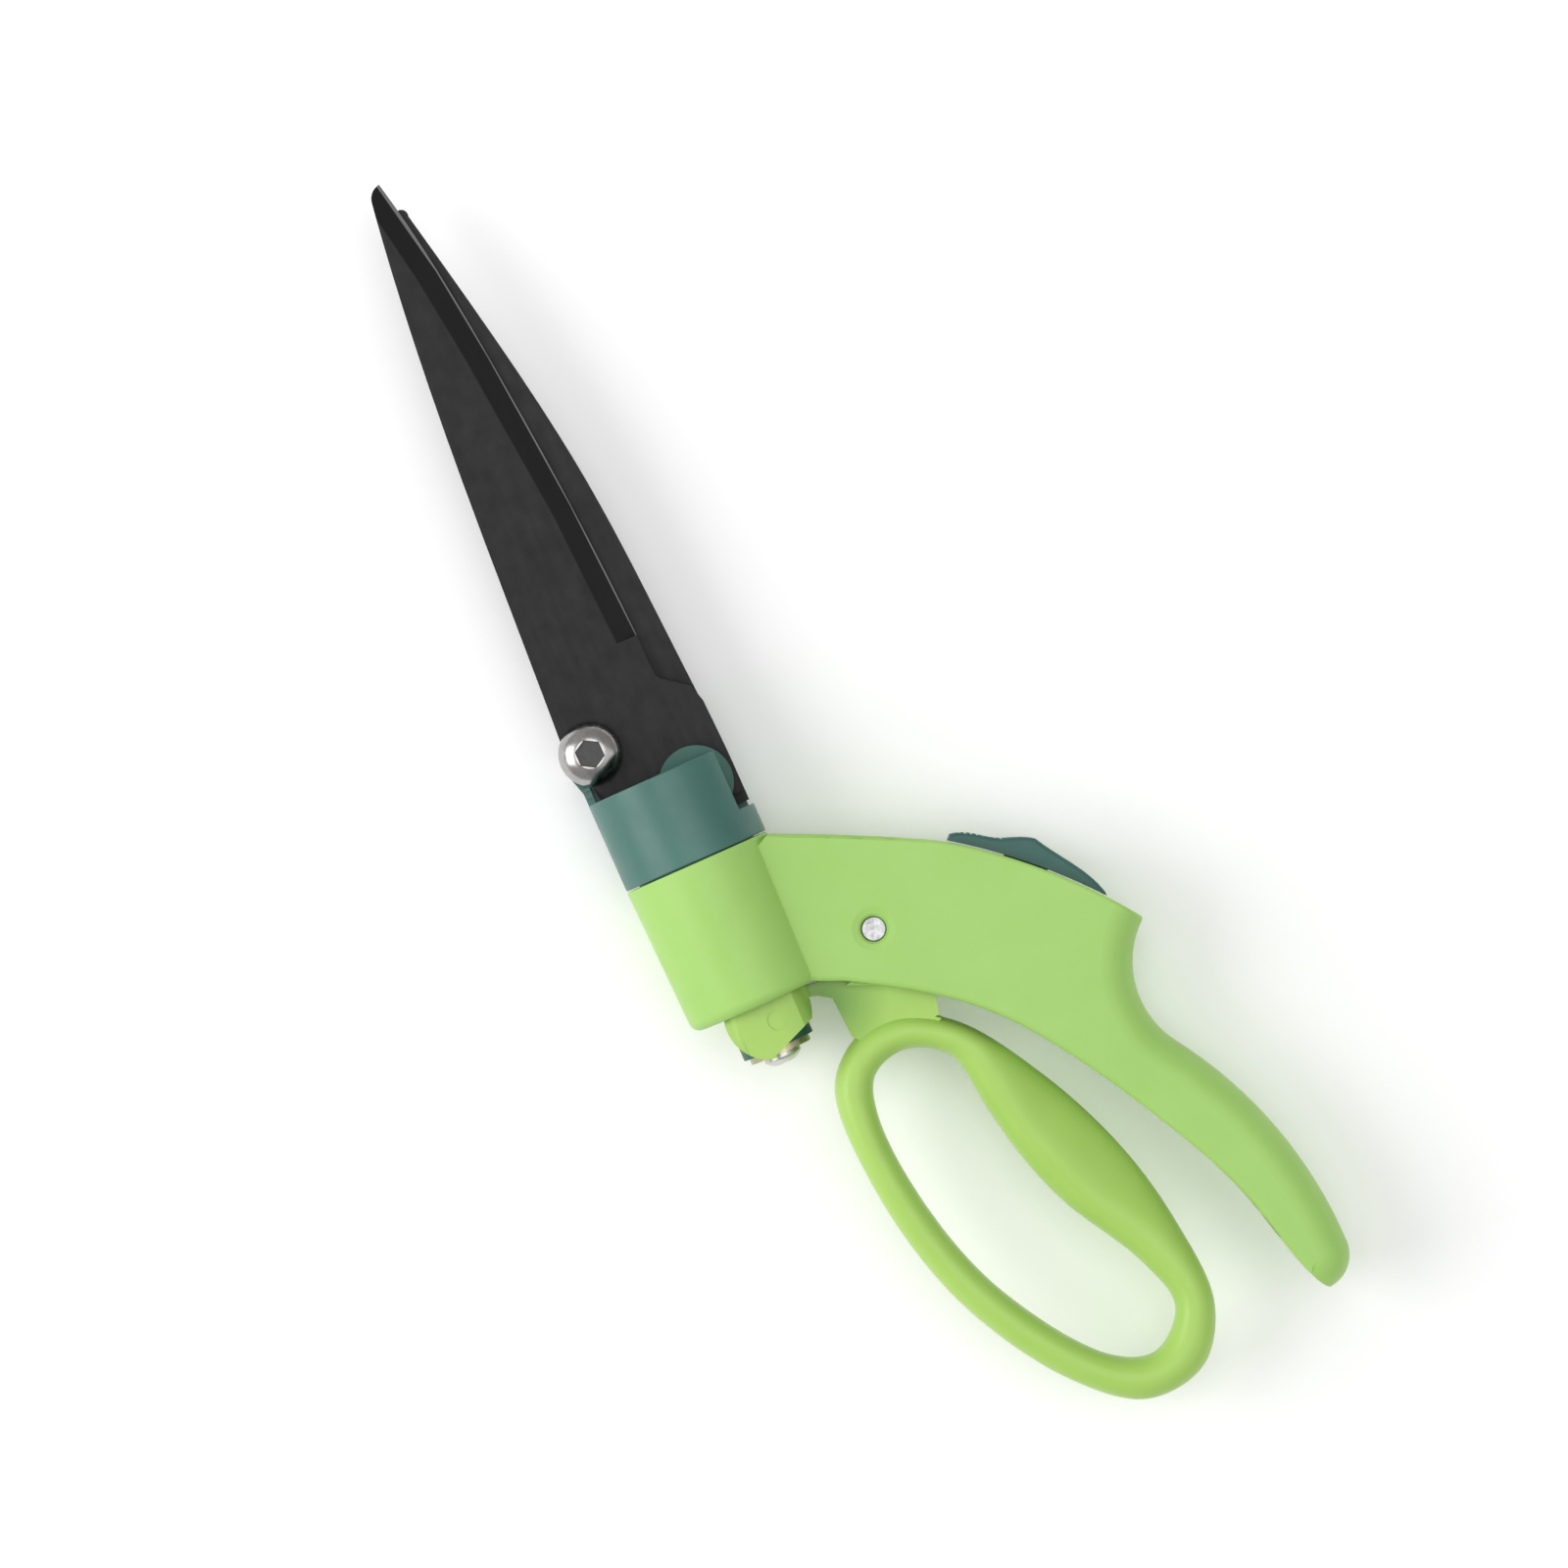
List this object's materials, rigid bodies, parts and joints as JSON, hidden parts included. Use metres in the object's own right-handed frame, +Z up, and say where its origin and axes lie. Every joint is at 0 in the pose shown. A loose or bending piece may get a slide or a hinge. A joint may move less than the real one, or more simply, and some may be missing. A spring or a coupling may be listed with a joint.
{
  "type": "grass shears",
  "caption": "One-handed grass shears with a barrel swivel behind two long scissor blades, a squeeze trigger with a finger loop and a thumb lock.",
  "frame": {"origin": "on the floor under the middle of the shears, which lie on their side with the blades flat and shut", "axes": "+X from the grip to the blade tips, parallel to the swivel axis; +Y from the finger loop's side of the grip towards the blades' bolt; +Z up, out of the side where the bolt's head is"},
  "size_m": [0.3279, 0.1207, 0.035],
  "materials": {
    "handle_plastic": "light green moulded plastic, smooth satin",
    "trigger_plastic": "light green moulded plastic, smooth satin",
    "head_plastic": "dark grey-green moulded plastic, fine satin grain",
    "lock_plastic": "dark grey-green moulded plastic",
    "rod_plastic": "dark grey-green moulded plastic",
    "washer_plastic": "natural nylon",
    "blade_steel": "black non-stick coating, satin, with bare ground edges",
    "bolt_steel": "bright plated steel",
    "pin_steel": "bare turned steel, slightly mottled",
    "spring_steel": "dull spring steel",
    "screw_steel": "plated steel",
    "washer_steel": "plated steel",
    "rod_washer": "yellow zinc-plated steel"
  },
  "bodies": {
    "handle": {"handle": "handle_plastic", "pivot_pin": "pin_steel", "click_spring": "spring_steel", "click_screw": "screw_steel", "return_spring": "spring_steel"},
    "head": {"swivel_head": "head_plastic", "thrust_washer": "washer_plastic", "circlip": "spring_steel", "fixed_blade": "blade_steel", "blade_screws": "screw_steel", "pivot_bolt": "bolt_steel", "bolt_washer": "washer_steel", "nut_washer": "washer_steel", "pivot_nut": "bolt_steel", "nut_insert": "washer_plastic"},
    "moving_blade": {"moving_blade": "blade_steel"},
    "rod": {"drive_rod": "rod_plastic", "drive_pin": "pin_steel", "rod_washer": "rod_washer", "rod_screw": "screw_steel"},
    "trigger": {"trigger": "trigger_plastic"},
    "lock": {"lock_slider": "lock_plastic", "lock_catch": "lock_plastic", "lock_screw": "screw_steel"}
  },
  "joints": [
    {"name": "head_swivel", "type": "hinge", "parent": "handle", "child": "head", "pos_m": [-0.0079, 0.0408, 0.0175], "axis": [1, 0, 0], "range_deg": [-90, 90], "deforming": ["click_spring"]},
    {"name": "trigger_swing", "type": "hinge", "parent": "handle", "child": "trigger", "pos_m": [-0.0386, 0.0099, 0.0175], "axis": [0, 0, -1], "range_deg": [0, 16], "deforming": ["return_spring"]},
    {"name": "rod_slide", "type": "slide", "parent": "head", "child": "rod", "axis": [1, 0, 0], "range_m": [0, 0.00826]},
    {"name": "blade_swing", "type": "hinge", "parent": "head", "child": "moving_blade", "pos_m": [0.0244, 0.053, 0.0175], "axis": [0, 0, 1], "range_deg": [0, 26]},
    {"name": "lock_slide", "type": "hinge", "parent": "handle", "child": "lock", "pos_m": [-0.1419, 0.0668, 0.0175], "axis": [0, 0, -1], "range_deg": [0, 2]}
  ],
  "couplings": [
    {"joint": "rod_slide", "follows": "trigger_swing", "m_per_rad": 0.029518},
    {"joint": "blade_swing", "follows": "trigger_swing", "ratio": 1.625}
  ]
}
